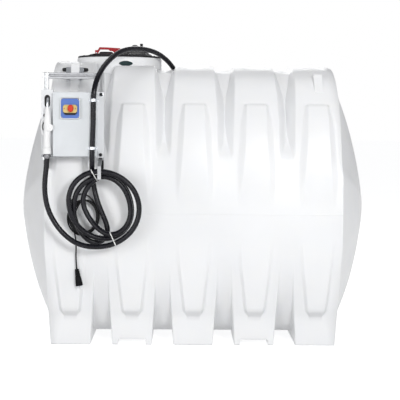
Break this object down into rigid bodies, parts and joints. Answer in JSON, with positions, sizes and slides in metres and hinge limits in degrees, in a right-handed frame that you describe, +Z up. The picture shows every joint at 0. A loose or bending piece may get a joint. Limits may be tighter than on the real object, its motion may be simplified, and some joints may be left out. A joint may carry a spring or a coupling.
{
  "type": "diesel exhaust fluid tank",
  "caption": "Ribbed polyethylene storage tank for diesel exhaust fluid, with a hung dispensing kit of cabinet, switch, nozzle in its holder, coiled hose and mains lead.",
  "frame": {"origin": "on the floor, at the middle of the flat underside of the middle rib, which is the middle of the tank's length and depth", "axes": "+Z up; +X along the tank, to the right of someone who faces the kit; the kit and the front are at -Y"},
  "size_m": [1.924, 1.4902, 1.615],
  "materials": {
    "tank_plastic": "slightly glossy rotomoulded polyethylene",
    "black_plastic": "satin black plastic",
    "red_plastic": "semi gloss red plastic",
    "grey_plastic": "matt grey plastic",
    "dark_teal_plastic": "dark teal plate with no lettering",
    "aluminium_profile": "natural anodised slotted profile",
    "black_rubber": "black rubber",
    "zinc_steel": "zinc plated steel",
    "white_paint": "white powder coat",
    "cabinet_grey": "light grey housing",
    "white_plastic": "semi gloss white plastic",
    "blue_plate": "semi gloss blue plate",
    "yellow_plastic": "semi gloss yellow plastic",
    "orange_red_plastic": "semi gloss orange red plastic"
  },
  "bodies": {
    "tank": {"barrel_bay_1": "tank_plastic", "barrel_bay_2": "tank_plastic", "barrel_bay_3": "tank_plastic", "barrel_bay_4": "tank_plastic", "barrel_bay_5": "tank_plastic", "left_end": "tank_plastic", "right_end": "tank_plastic", "left_lug": "tank_plastic", "right_lug": "tank_plastic", "manhole_neck": "tank_plastic", "manhole_lid": "black_plastic", "filler_cap": "black_plastic", "filler_handle": "red_plastic", "vent_dome": "grey_plastic", "neck_plate": "dark_teal_plastic", "left_post": "aluminium_profile", "right_post": "aluminium_profile", "top_rail": "aluminium_profile", "left_pad": "black_rubber", "right_pad": "black_rubber", "left_hanger_arm": "zinc_steel", "right_hanger_arm": "zinc_steel", "left_cap_nut": "black_plastic", "right_cap_nut": "black_plastic", "mounting_plate": "white_paint", "upper_knob": "black_plastic", "lower_knob": "black_plastic", "hose_hook": "zinc_steel", "cabinet": "cabinet_grey", "switch_housing": "white_plastic", "switch_face": "blue_plate", "switch_base": "yellow_plastic", "nozzle_holder": "white_paint", "nozzle_body": "white_plastic", "nozzle_spout": "white_plastic", "trigger_guard": "white_plastic", "nozzle_collar": "white_plastic", "nozzle_hose_clamp": "zinc_steel", "hose_fitting": "black_plastic", "hose_feed": "black_rubber", "hose_coil": "black_rubber", "hose_tail": "black_rubber", "upper_hose_clamp": "zinc_steel", "lower_hose_clamp": "zinc_steel", "lead_gland": "black_rubber", "power_lead": "black_rubber", "lead_coil": "black_rubber", "lead_drop": "black_rubber", "mains_plug": "black_rubber"},
    "switch": {"switch_knob": "orange_red_plastic"}
  },
  "joints": [
    {"name": "switch_turn", "type": "hinge", "parent": "tank", "child": "switch", "pos_m": [-0.6235, -0.82, 1.239], "axis": [0, 1, 0], "range_deg": [0, 90]}
  ]
}
